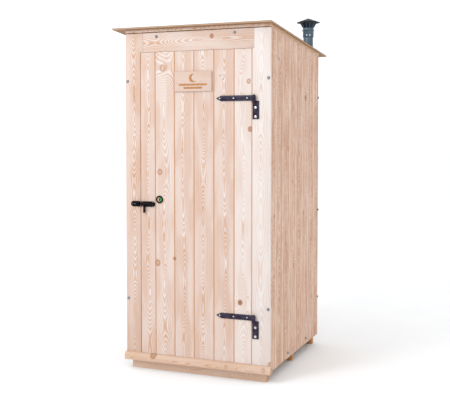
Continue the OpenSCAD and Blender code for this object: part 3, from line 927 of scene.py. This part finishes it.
@dataclass
class BoardPanel:
    """Tongue-and-groove boards side by side.

    A panel is made with its outside towards -Y, its boards side by side along
    +X from the origin and their length up +Z. It is then turned to its side of
    the house. The first board has no groove and the last one no tongue. A
    rimmed panel has the joints' painted shade and light on its two outer sides too.
    """

    name: str
    widths: Sequence[float]
    length: float
    thick: float = BOARD_T
    chamfer: float = 0.0042
    gap: float = 0.0003
    tongue: float = 0.0055
    rimmed: bool = False
    _patterns: dict[tuple[float, bool, bool], Piece] = field(default_factory=dict)

    def _pattern(self, width: float, grooved: bool, tongued: bool) -> Piece:
        """Shapes one board, with chamfered edges, a groove on the left and a tongue on the right.

        Args:
            width: The board's cover width.
            grooved: Whether there is a board to its left.
            tongued: Whether there is a board to its right.

        Returns:
            The board, with its left edge on the origin.
        """
        half_gap = self.gap / 2
        board = Bench.block(
            f"{self.name}_board", (half_gap, 0, 0), (width - half_gap, self.thick, self.length)
        )
        with Bench.editing(board):
            for level, width_cut in ((0.0, self.chamfer), (self.thick, BACK_CHAMFER)):
                Bench.pick(board, Pick.EDGES, lambda e: self._runs_up(e, level))
                bpy.ops.mesh.bevel(offset=width_cut, segments=1, affect="EDGES")
            for wanted, normal, inset, move in (
                (tongued, 1, self.tongue, TONGUE_REACH),
                (grooved, -1, self.tongue - 0.0004, GROOVE_DEPTH),
            ):
                if wanted:
                    Bench.pick(board, Pick.FACES, lambda f: f.normal.x * normal > 0.99)
                    bpy.ops.mesh.inset(thickness=inset * 0.85, depth=0)
                    bpy.ops.mesh.extrude_region_move(TRANSFORM_OT_translate={"value": (move, 0, 0)})
        return board

    @staticmethod
    def _runs_up(edge: bmesh.types.BMEdge, level: float) -> bool:
        """Says whether an edge runs along the board, at a level of its thickness."""
        if any(abs(v.co.y - level) > SAME_PLACE for v in edge.verts):
            return False
        first, second = (v.co for v in edge.verts)
        length = (first - second).length
        return abs(first.z - second.z) > 0.9 * length and length > 0.05

    def build(self, facing: Facing, corner: Vector, turn: Matrix | None = None) -> Piece:
        """Makes the boards and turns them to their side of the house.

        Args:
            facing: The side that the chamfered faces look to.
            corner: Where the panel's own origin goes.
            turn: A turn to use in place of the side's own.

        Returns:
            All the boards as one piece, not yet cut to length.
        """
        boards, start = [], 0.0
        for number, width in enumerate(self.widths):
            key = (round(width, 5), number > 0, number < len(self.widths) - 1)
            if key not in self._patterns:
                self._patterns[key] = self._pattern(width, *key[1:])
            boards.append(Bench.twin(self._patterns[key], Matrix.Translation((start, 0, 0))))
            start += width
        for pattern in self._patterns.values():
            bpy.data.objects.remove(pattern)
        panel = Bench.join(self.name, boards)
        self._mark_joints(panel)
        turn = facing.turn() if turn is None else turn
        return Bench.place(panel, Matrix.Translation(corner) @ turn)

    def _mark_joints(self, panel: Piece) -> None:
        """Marks the points that lie down in the joints in a point attribute, the mask where the
        wood paints the grooves' shade and light.
        """
        layer = panel.data.attributes.new("groove_light_mask", "FLOAT", "POINT")
        last = sum(self.widths) - self.chamfer
        for vertex, mark in zip(panel.data.vertices, layer.data):
            inside = self.chamfer < vertex.co.x < last or self.rimmed
            mark.value = 1.0 if inside and 0.001 < vertex.co.y < self.thick - 0.0005 else 0.0


def shares(total: float, first: float, pitch: float = BOARD_PITCH) -> list[float]:
    """Splits a width into boards: a cut first one, whole ones and the rest."""
    widths = [first]
    while total - sum(widths) > pitch * 1.02:
        widths.append(pitch)
    return [*widths, total - sum(widths)]


# --- fasteners


class Head(Enum):
    """Kinds of fastener, as head radius, head height, washer radius and recess radius."""

    STRAP_SCREW = (0.0052, 0.003, 0.0, 0.0022)
    COACH_BOLT = (0.0088, 0.0048, 0.0, 0.0)
    PANEL_BOLT = (0.007, 0.0072, 0.01, 0.0)
    WOOD_SCREW = (0.0045, 0.0016, 0.0, 0.0021)
    NAIL = (0.0032, 0.0012, 0.0, 0.0)
    RIVET = (0.0056, 0.0024, 0.0, 0.0)


@dataclass
class Fasteners:
    """Like fasteners on one body, modelled once and copied."""

    name: str
    head: Head
    body: str
    finish: Material
    slot: str = "grey_steel"

    def _model(self) -> Piece:
        """Shapes one domed head that stands on the origin and looks up."""
        radius, height, washer, recess = self.head.value
        dome = height * 0.78
        head = Bench.drum(f"{self.name}_head", radius, height, 20)
        with Bench.editing(head):
            Bench.pick(head, Pick.EDGES, lambda e: all(v.co.z > height * 0.9 for v in e.verts))
            bpy.ops.mesh.bevel(offset=dome, segments=4, affect="EDGES")
            if recess:
                Bench.pick(
                    head, Pick.FACES,
                    lambda f: f.normal.z > 0.999 and f.calc_center_median().z > height * 0.9,
                )
                bpy.ops.mesh.inset(thickness=max(0.0003, radius - dome - recess), depth=0)
                sink = {"value": (0, 0, -height * 0.5)}
                bpy.ops.mesh.extrude_region_move(TRANSFORM_OT_translate=sink)
        pieces = [head]
        if washer:
            ring = Bench.drum(f"{self.name}_washer", washer, 0.0014, 24)
            pieces.append(Bench.ease(ring, 0.0004, 1))
            head.location.z = 0.0012
            Bench.settle(head)
        return Bench.ease(Bench.join(self.name, pieces), 0.0)

    def fix(self, seats: Sequence[Seat]) -> Piece:
        """Copies the head to each seat.

        Args:
            seats: The point that each head sits on, and the way it looks.

        Returns:
            All the heads as one piece.
        """
        model = self._model()
        copies = []
        for point, way in seats:
            turn = Vector((0, 0, 1)).rotation_difference(way).to_matrix().to_4x4()
            copies.append(Bench.twin(model, Matrix.Translation(point) @ turn))
        bpy.data.objects.remove(model)
        return finish(Bench.join(self.name, copies), self.finish, self.body, self.slot)


# --- sub-assemblies


def dress(
    node: str, name: str, ease: float, material: Material, body: str, slot: str,
    grain: Grain | None = None, segments: int = 2,
) -> Piece:
    """Copies a CAD node, lays its grain and finishes it.

    Args:
        node: The CAD node that the piece stands for.
        name: The piece's name.
        ease: The radius that its sharp edges get.
        material: The finish of its whole surface.
        body: The CAD body that it moves with.
        slot: The material slot that it belongs to.
        grain: How its grain runs, if it is wood.
        segments: How many faces make up each rounded edge.

    Returns:
        The finished piece.
    """
    piece = Bench.from_frame(node, name, ease, segments)
    return finish(grain.lay(piece) if grain else piece, material, body, slot)


def timber(node: str, ease: float, material: Material, body: str = "house") -> None:
    """Finishes a CAD node as sawn timber of the frame."""
    dress(node, f"{node}_timber", ease, material, body, "frame_timber", Grain(node))


@dataclass
class Base:
    """Runners, floor and threshold."""

    finishes: Finishes
    first: float = 0.12

    def build(self) -> None:
        """Builds and dresses the base."""
        f = self.finishes
        for node in ("front_runner", "middle_runner", "back_runner"):
            # The runners under the house get the darker wood as painted shade.
            material = f.sill if node == "front_runner" else f.runner
            grain = Grain(node, (0.4,), spread=0.0)
            dress(node, f"{node}_beam", 0.0018, material, "house", "runner_timber", grain)
        grain = Grain("threshold", (0.4,), (0.0075,), 0.0)
        dress("threshold", "threshold_board", 0.0015, f.sill, "house", "pine_boards", grain)
        low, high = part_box("floor_deck")
        widths = shares(high.x - low.x, self.first)
        panel = BoardPanel("floor_boards", widths, high.y - low.y, chamfer=0.0012)
        floor = panel.build(Facing.UP, Vector((low.x, low.y, high.z)))
        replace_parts(Grain("floor").lay(floor), "floor_deck")
        finish(floor, f.plain, "house", "pine_boards")


@dataclass
class Walls:
    """The front's fixed boards, the side and back walls and their panel bolts."""

    finishes: Finishes
    side_first: float = 0.084
    side_pitch: float = 0.142
    back_first: float = 0.09
    bolt_edge: float = 0.012

    def build(self) -> None:
        """Builds and dresses the walls."""
        self._front()
        self._side("right_wall", Facing.RIGHT, self.finishes.side)
        self._side("left_wall", Facing.LEFT, self.finishes.plain)
        self._back()
        self._bolts()

    def _front(self) -> None:
        """Softens the stiles and the rail around the door."""
        # The left stile's low tone and the right stile's high tone are painted light: the front
        # gets darker to the left and lighter to the right, as the light falls.
        for node, name, tone, ring in (
            ("left_stile", "left_stile_board", 0.26, 0.006),
            ("right_stile", "right_stile_board", 0.96, 0.0088),
            ("top_rail", "top_rail_board", 0.45, 0.0058),
        ):
            board = Bench.from_frame(node, name, 0.0017)
            self._mark_reveal(board)
            Grain(name, (tone,), (ring,), 0.0).lay(board)
            finish(board, self.finishes.front, "house", "pine_boards")

    @staticmethod
    def _mark_reveal(board: Piece) -> None:
        """Marks the sides of a board that face the door's edges in a point attribute, the mask that
        paints shade and light into the gap round the door.
        """
        low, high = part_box("door_panel")
        layer = board.data.attributes.new("groove_light_mask", "FLOAT", "POINT")
        for vertex, mark in zip(board.data.vertices, layer.data):
            near = low.x - 0.03 < vertex.co.x < high.x + 0.03 and vertex.co.y > low.y + 0.0016
            mark.value = 1.0 if near else 0.0

    def _slope_cut(self, wall: Piece) -> None:
        """Cuts a wall along the underside of the roof."""
        Bench.cut_above(wall, at(0, 0, WALL_TOP), ROOF_UP)

    def _side(self, node: str, facing: Facing, material: Material) -> None:
        """Builds a side wall, whose boards start at the front."""
        low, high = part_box(node)
        widths = shares(high.y - low.y, self.side_first, self.side_pitch)
        if facing is Facing.RIGHT:
            corner = Vector((high.x, low.y, low.z))
        else:
            widths, corner = widths[::-1], Vector((low.x, high.y, low.z))
        length = high.z - low.z + SPARE_LENGTH
        wall = BoardPanel(f"{node}_boards", widths, length, chamfer=0.0065).build(facing, corner)
        self._slope_cut(wall)
        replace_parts(Grain(node).lay(wall), node)
        finish(wall, material, "house", "pine_boards")

    def _back(self) -> None:
        """Builds the back wall with the hole for the vent's elbow."""
        low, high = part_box("back_wall")
        widths = shares(high.x - low.x, self.back_first)
        panel = BoardPanel("back_wall_boards", widths, high.z - low.z + SPARE_LENGTH)
        wall = panel.build(Facing.BACK, Vector((high.x, high.y, low.z)))
        elbow_low, elbow_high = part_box("vent_elbow")
        radius = (elbow_high.x - elbow_low.x) / 2
        drill = Bench.drum("elbow_drill", radius + 0.002, 0.12, 48)
        seat = ((elbow_low.x + elbow_high.x) / 2, high.y + 0.05, elbow_low.z + radius)
        Bench.place(drill, Matrix.Translation(seat) @ Matrix.Rotation(math.pi / 2, 4, "X"))
        Bench.modify(wall, "BOOLEAN", object=drill, operation="DIFFERENCE", solver="EXACT")
        bpy.data.objects.remove(drill)
        self._slope_cut(wall)
        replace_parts(Grain("back_wall").lay(wall), "back_wall")
        finish(wall, self.finishes.plain, "house", "pine_boards")

    def _bolts(self) -> None:
        """Fixes the bolts that hold the wall panels together."""
        seats = [
            (at(x, 0, z), TO_FRONT) for x in (0.013, HOUSE_W - 0.014) for z in (1.886, 0.462)
        ]
        seats += [(at(0.224, 0, 2.168), TO_FRONT), (at(0.762, 0, 2.172), TO_FRONT)]
        for x, way in ((HOUSE_W, TO_RIGHT), (0, TO_LEFT)):
            seats += [(at(x, 0.357, 0.106), way), (at(x, 0.775, 0.108), way)]
        edge = HOUSE_D - self.bolt_edge
        for z in (0.35, 0.991, 1.807):
            seats += [(at(HOUSE_W, edge, z), TO_RIGHT), (at(0, edge, z), TO_LEFT)]
            seats += [(at(x, HOUSE_D, z), TO_BACK) for x in (0.24, HOUSE_W - 0.24)]
        Fasteners("panel_bolts", Head.PANEL_BOLT, "house", self.finishes.steel).fix(seats)


@dataclass
class Frame:
    """The timbers behind the boards."""

    finishes: Finishes
    nodes: tuple[str, ...] = (
        "left_jamb", "right_jamb", "lintel", "back_left_post", "back_right_post",
        "sole_plates", "wall_rails", "back_plate", "rafters",
    )

    def build(self) -> None:
        """Builds and dresses the frame."""
        for node in self.nodes:
            timber(node, 0.0016, self.finishes.timber)


@dataclass
class Roof:
    """Deck boards, plywood sheet and felt with its nails."""

    finishes: Finishes
    first: float = 0.118
    end_clear: float = 0.001
    nail_edge: float = 0.02
    nail_start: float = 0.045

    def build(self) -> None:
        """Builds and dresses the roof."""
        self._deck()
        for node, name, ease, material, slot in (
            ("roof_sheet", "roof_sheet_ply", 0.0008, self.finishes.ply, "roof_plywood"),
            ("roof_felt", "roof_felt_layer", 0.0005, self.finishes.felt, "roof_felt"),
        ):
            dress(node, name, ease, material, "house", slot, segments=1)
        self._nails()

    def _deck(self) -> None:
        """Lays the deck's boards across the slope."""
        angle = math.atan(ROOF_SLOPE)
        depth = DECK_HIGH.y - DECK_LOW.y
        widths = shares((depth - 2 * self.end_clear) / math.cos(angle), self.first)
        length = DECK_HIGH.x - DECK_LOW.x
        panel = BoardPanel("roof_deck_boards", widths, length, DECK_T - 0.0004, 0.0012)
        flat = Matrix(((0, 0, 1, 0), (-1, 0, 0, 0), (0, -1, 0, 0), (0, 0, 0, 1)))
        fall = Matrix.Rotation(-angle, 4, "X")
        fallen = ROOF_SLOPE * (depth - self.end_clear)
        foot = Vector((DECK_LOW.x, DECK_HIGH.y - self.end_clear, DECK_HIGH.z - 0.0002 - fallen))
        deck = panel.build(Facing.UP, foot, fall @ flat)
        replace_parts(Grain("roof_deck").lay(deck), "roof_deck")
        finish(deck, self.finishes.deck, "house", "pine_boards")

    def _nails(self) -> None:
        """Fixes the felt with clout nails along its edges."""
        low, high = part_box("roof_felt")
        seats = []

        def seat(x: float, y: float) -> None:
            """Adds one nail on the felt."""
            seats.append((Vector((x, y, high.z - 0.0011 - ROOF_SLOPE * (y - low.y))), ROOF_UP))

        edge, start = self.nail_edge, self.nail_start
        for step in range(12):
            x = low.x + start + step * (high.x - low.x - 2 * start) / 11
            seat(x, low.y + edge)
            seat(x, high.y - edge)
        for step in range(1, 13):
            y = low.y + edge + step * (high.y - low.y - 2 * edge) / 13
            seat(low.x + edge, y)
            seat(high.x - edge, y)
        Fasteners("felt_nails", Head.NAIL, "house", self.finishes.steel).fix(seats)


@dataclass
class Door:
    """The boarded door with its ledges, braces and nameplate."""

    finishes: Finishes
    first: float = 0.103
    lip: float = 0.0046
    tones: tuple[float, ...] = (0.42, 0.66, 0.45, 0.5, 0.52, 0.8)
    rings: tuple[float, ...] = (0.0046, 0.0072, 0.0044, 0.0048, 0.0043, 0.006)
    screw_edge: float = 0.045
    screw_stagger: float = 0.022
    moon: float = 0.027
    bar_half: float = 0.0065

    def build(self) -> None:
        """Builds and dresses the door."""
        low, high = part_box("door_panel")
        lip = Vector((self.lip, 0, self.lip))
        low, high = low - lip, high + lip
        widths = shares(high.x - low.x, self.first + self.lip)
        panel = BoardPanel("door_boards", widths, high.z - low.z, rimmed=True)
        boards = panel.build(Facing.FRONT, low)
        grain = Grain("door_boards", self.tones, self.rings, 0.05)
        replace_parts(grain.lay(boards), "door_panel")
        finish(boards, self.finishes.door, "door", "pine_boards")
        for node in ("door_ledges", "door_braces"):
            timber(node, 0.0018, self.finishes.timber, "door")
        self._ledge_screws()
        self._nameplate()
        Fasteners("door_nails", Head.NAIL, "door", self.finishes.iron, "black_iron").fix(
            [(at(0.666, 0, 1.908), TO_FRONT), (at(0.688, 0, 1.885), TO_FRONT)]
        )

    def _ledge_screws(self) -> None:
        """Screws each ledge to the boards from behind."""
        low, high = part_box("door_ledges")
        door_low, door_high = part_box("door_panel")
        half_ledge = 0.0475
        middle = (door_low.z + door_high.z) / 2 - 0.12
        span = high.x - low.x - 2 * self.screw_edge
        seats = []
        for z in (low.z + half_ledge, middle, high.z - half_ledge):
            for step in range(6):
                x = low.x + self.screw_edge + step * span / 5
                rise = self.screw_stagger if step % 2 else -self.screw_stagger
                seats.append((Vector((x, high.y, z + rise)), TO_BACK))
        Fasteners("ledge_screws", Head.WOOD_SCREW, "door", self.finishes.zinc).fix(seats)

    def _nameplate(self) -> None:
        """Makes the plate, with a crescent and two plain bars as inlays."""
        low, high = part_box("nameplate")
        grain = Grain("nameplate", (0.45,), (0.003,), 0.0)
        dress(
            "nameplate", "nameplate_board", 0.0022, self.finishes.plate, "door", "plate_wood",
            grain, 3,
        )
        middle, face = (low.x + high.x) / 2, low.y
        moon = self._crescent(
            Vector((middle, face, low.z + (high.z - low.z) * 0.67)), self.moon
        )
        bars = []
        for width, z in ((0.196, 0.34), (0.13, 0.18)):
            level = low.z + (high.z - low.z) * z
            bar = Bench.block(
                "plate_bar", (middle - width / 2, face - 0.0003, level - self.bar_half),
                (middle + width / 2, face + 0.002, level + self.bar_half),
            )
            with Bench.editing(bar):
                Bench.pick(
                    bar, Pick.EDGES, lambda e: abs(e.verts[0].co.y - e.verts[1].co.y) > 0.001
                )
                bpy.ops.mesh.bevel(offset=0.006, segments=5, affect="EDGES")
            bars.append(bar)
        routed = Grain("routed").lay(Bench.join("plate_ornament", [moon, *bars]))
        finish(routed, self.finishes.burnt, "door", "plate_wood")

    @staticmethod
    def _crescent(middle: Vector, radius: float) -> Piece:
        """Makes a crescent moon as a thin inlay: a disc with a smaller disc cut from it."""
        disc = Bench.drum("plate_moon", radius, 0.0024, 48)
        bite = Bench.drum("moon_bite", radius * 0.82, 0.02, 48)
        Bench.place(bite, Matrix.Translation((radius * 0.48, radius * 0.1, -0.008)))
        Bench.modify(disc, "BOOLEAN", object=bite, operation="DIFFERENCE", solver="EXACT")
        bpy.data.objects.remove(bite)
        turn = Matrix.Rotation(math.pi / 2, 4, "X")
        return Bench.place(disc, Matrix.Translation(middle + Vector((0, 0.002, 0))) @ turn)


@dataclass
class Hinges:
    """Hook-and-band hinges with their screws and bolts."""

    finishes: Finishes
    screws: tuple[float, ...] = (0.665, 0.758, 0.848)
    bolt_inset: float = 0.021
    bolt_drops: tuple[float, ...] = (0.041, 0.097)

    def build(self) -> None:
        """Builds and dresses both hinges."""
        for level in ("upper", "lower"):
            iron = self.finishes.iron
            for node, part, body in (("strap", "band", "door"), ("hook", "plate", "house")):
                node = f"{level}_{node}"
                dress(node, f"{node}_{part}", 0.0009, iron, body, "black_iron")
            self._fix(level)

    def _fix(self, level: str) -> None:
        """Puts three screws in the strap and two bolts in the hook plate."""
        low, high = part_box(f"{level}_strap")
        middle = (low.z + high.z) / 2
        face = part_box("door_panel")[0].y - 0.005
        zinc = self.finishes.zinc
        seats = [(Vector((at(x, 0, 0).x, face, middle)), TO_FRONT) for x in self.screws]
        Fasteners(f"{level}_strap_screws", Head.STRAP_SCREW, "door", zinc).fix(seats)
        top = low.z - 0.001
        plate_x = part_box(f"{level}_hook")[1].x - self.bolt_inset
        bolts = [(Vector((plate_x, face, top - drop)), TO_FRONT) for drop in self.bolt_drops]
        Fasteners(f"{level}_hook_bolts", Head.COACH_BOLT, "house", zinc).fix(bolts)


@dataclass
class Latch:
    """Barrel bolt, keeper, round indicator and thumb turn."""

    finishes: Finishes

    def build(self) -> None:
        """Builds and dresses the latch."""
        for node, name, body in (
            ("bolt_housing", "bolt_housing_plate", "door"), ("bolt_rod", "bolt_rod_bar", "bolt"),
            ("bolt_keeper", "bolt_keeper_plate", "house"),
            ("lock_rosette", "lock_rosette_ring", "door"),
        ):
            dress(node, name, 0.0007, self.finishes.black, body, "black_iron")
        steel = self.finishes.steel
        dress("thumbturn", "thumbturn_knob", 0.0009, steel, "door", "grey_steel")
        low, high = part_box("lock_disc")
        middle = (low + high) / 2
        face = LockFace("indicator_face", (middle.x, middle.z), (high.x - low.x) / 2).material()
        dress("lock_disc", "lock_disc_face", 0.0003, face, "door", "indicator_green", segments=1)
        self._screws()

    def _screws(self) -> None:
        """Puts dark screws in the bolt's and the keeper's plates."""
        low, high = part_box("bolt_housing")
        plate_y, z = high.y - 0.003, (low.z + high.z) / 2
        steel = self.finishes.steel
        seats = [
            (Vector((x, plate_y, z + side * rise)), TO_FRONT)
            for x, rise in ((low.x + 0.012, 0.0135), (high.x - 0.016, 0.0132))
            for side in (-1, 1)
        ]
        Fasteners("bolt_screws", Head.NAIL, "door", steel).fix(seats)
        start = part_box("bolt_keeper")[0].x
        seats = [(Vector((start + x, plate_y, z)), TO_FRONT) for x in (0.012, 0.03)]
        Fasteners("keeper_screws", Head.NAIL, "house", steel).fix(seats)


@dataclass
class Vent:
    """Vent pipe with its elbow, clamps, roof boot, cowl and rain cap."""

    finishes: Finishes
    ribs: int = 12
    rib_foot: float = 0.0402
    rib_half: float = 0.0019
    sleeve_radius: float = 0.0399

    def build(self) -> None:
        """Builds and dresses the vent."""
        f = self.finishes
        for node, name, ease, material, slot in (
            ("vent_elbow", "vent_elbow_bend", 0.0006, f.pipe, "vent_plastic"),
            ("vent_pipe", "vent_pipe_tube", 0.0005, f.pipe, "vent_plastic"),
            ("vent_sleeve", "vent_sleeve_socket", 0.0012, f.pipe, "vent_plastic"),
            # The cowl and its posts get the darker plastic as painted shade under the hat.
            ("vent_cowl", "vent_cowl_flare", 0.0008, f.cap, "cap_plastic"),
            ("cap_posts", "cap_post_stays", 0.0006, f.cap, "cap_plastic"),
            ("vent_hat", "vent_hat_cone", 0.001, f.hat, "cap_plastic"),
            ("vent_boot", "vent_boot_collar", 0.002, f.rubber, "boot_rubber"),
            ("pipe_clamps", "pipe_clamp_rings", 0.0007, f.steel, "grey_steel"),
        ):
            dress(node, name, ease, material, "house", slot)
        self._ribs()
        self._rivets()

    def _axis(self) -> Vector:
        """Returns the pipe's axis at the ground."""
        low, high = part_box("vent_pipe")
        return Vector(((low.x + high.x) / 2, (low.y + high.y) / 2, 0))

    def _ribs(self) -> None:
        """Adds thin ribs down the outside of the flared cowl."""
        low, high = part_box("vent_cowl")
        foot, half, end = self.rib_foot, self.rib_half, 0.002
        rim = (high.x - low.x) / 2
        rib = Bench.block(
            "cowl_rib", (foot - 0.003, -half, low.z + end), (foot + 0.0022, half, high.z - end)
        )
        with Bench.editing(rib):
            Bench.pick(rib, Pick.FACES, lambda f: f.normal.z > 0.9)
            bpy.ops.transform.translate(value=(rim - foot - 0.0024, 0, 0))
        Bench.ease(rib, 0.0004, 1)
        seat, step = Matrix.Translation(self._axis()), 2 * math.pi / self.ribs
        copies = [
            Bench.twin(rib, seat @ Matrix.Rotation(step * i, 4, "Z")) for i in range(self.ribs)
        ]
        bpy.data.objects.remove(rib)
        finish(Bench.join("vent_cowl_ribs", copies), self.finishes.pipe, "house", "cap_plastic")

    def _rivets(self) -> None:
        """Puts two pairs of bright rivets in the sleeve."""
        level = Vector((0, 0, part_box("vent_sleeve")[0].z + 0.012))
        axis, seats = self._axis(), []
        for turn in map(math.radians, (-89, -57, 91, 123)):
            way = Vector((math.cos(turn), math.sin(turn), 0))
            seats.append((axis + way * self.sleeve_radius + level, way))
        Fasteners("sleeve_rivets", Head.RIVET, "house", self.finishes.zinc).fix(seats)


@dataclass
class Studio:
    """Floor, light and camera."""

    lens: float = 66.41
    seat: tuple[float, float, float] = (2.168, -5.408, 1.547)
    heading: float = 21.942
    pitch: float = -2.5
    shift: float = -0.0674
    key_seat: tuple[float, float, float] = (-2.2, -4.6, 4.4)
    key_aim: tuple[float, float, float] = (0.0, 0.0, 1.1)
    key_power: float = 135.0
    key_size: float = 2.2
    key_colour: Colour = (0.86, 0.95, 1.0)
    sky: float = 1.2
    floor_reach: float = 60.0

    def build(self) -> None:
        """Sets up the studio."""
        self._floor()
        self._lights()
        self._camera()

    def _floor(self) -> None:
        """Lays a wide pale floor whose far edge is out of sight."""
        reach = self.floor_reach
        floor = Bench.block("studio_floor", (-reach, -reach, -0.02), (reach, reach, 0))
        Bench.ease(floor, 0.002, 1)
        floor.data.materials.append(PaleFloor().material())

    def _lights(self) -> None:
        """Lights the room evenly, with one soft key from the front left."""
        world = bpy.data.worlds.new("studio_world")
        bpy.context.scene.world = world
        world.use_nodes = True
        sky = world.node_tree.nodes["Background"].inputs
        sky["Color"].default_value = (1.0, 1.0, 1.0, 1.0)
        sky["Strength"].default_value = self.sky
        lamp = bpy.data.lights.new("key_light", "AREA")
        lamp.energy, lamp.size, lamp.shape = self.key_power, self.key_size, "DISK"
        lamp.color = self.key_colour
        holder = bpy.data.objects.new("key_light", lamp)
        bpy.context.scene.collection.objects.link(holder)
        holder.location = self.key_seat
        aim = Vector(self.key_aim) - Vector(self.key_seat)
        holder.rotation_euler = aim.to_track_quat("-Z", "Y").to_euler()

    def _camera(self) -> None:
        """Places the camera."""
        camera = bpy.data.objects.new("camera", bpy.data.cameras.new("camera"))
        bpy.context.scene.collection.objects.link(camera)
        camera.data.lens, camera.data.sensor_width = self.lens, 36.0
        camera.data.shift_y = self.shift
        camera.data.clip_start, camera.data.clip_end = 0.1, 200.0
        camera.location = self.seat
        camera.rotation_euler = (math.radians(90 + self.pitch), 0, math.radians(self.heading))
        bpy.context.scene.camera = camera
        bpy.context.scene.view_settings.view_transform = "Standard"


def main() -> None:
    """Builds the outhouse and its studio."""
    logging.basicConfig(level=logging.INFO, format="%(name)s: %(message)s")
    finishes = Finishes.make()
    for part in (Base, Walls, Frame, Roof, Door, Hinges, Latch, Vent):
        part(finishes).build()
    Studio().build()


if __name__ == "__main__":
    main()
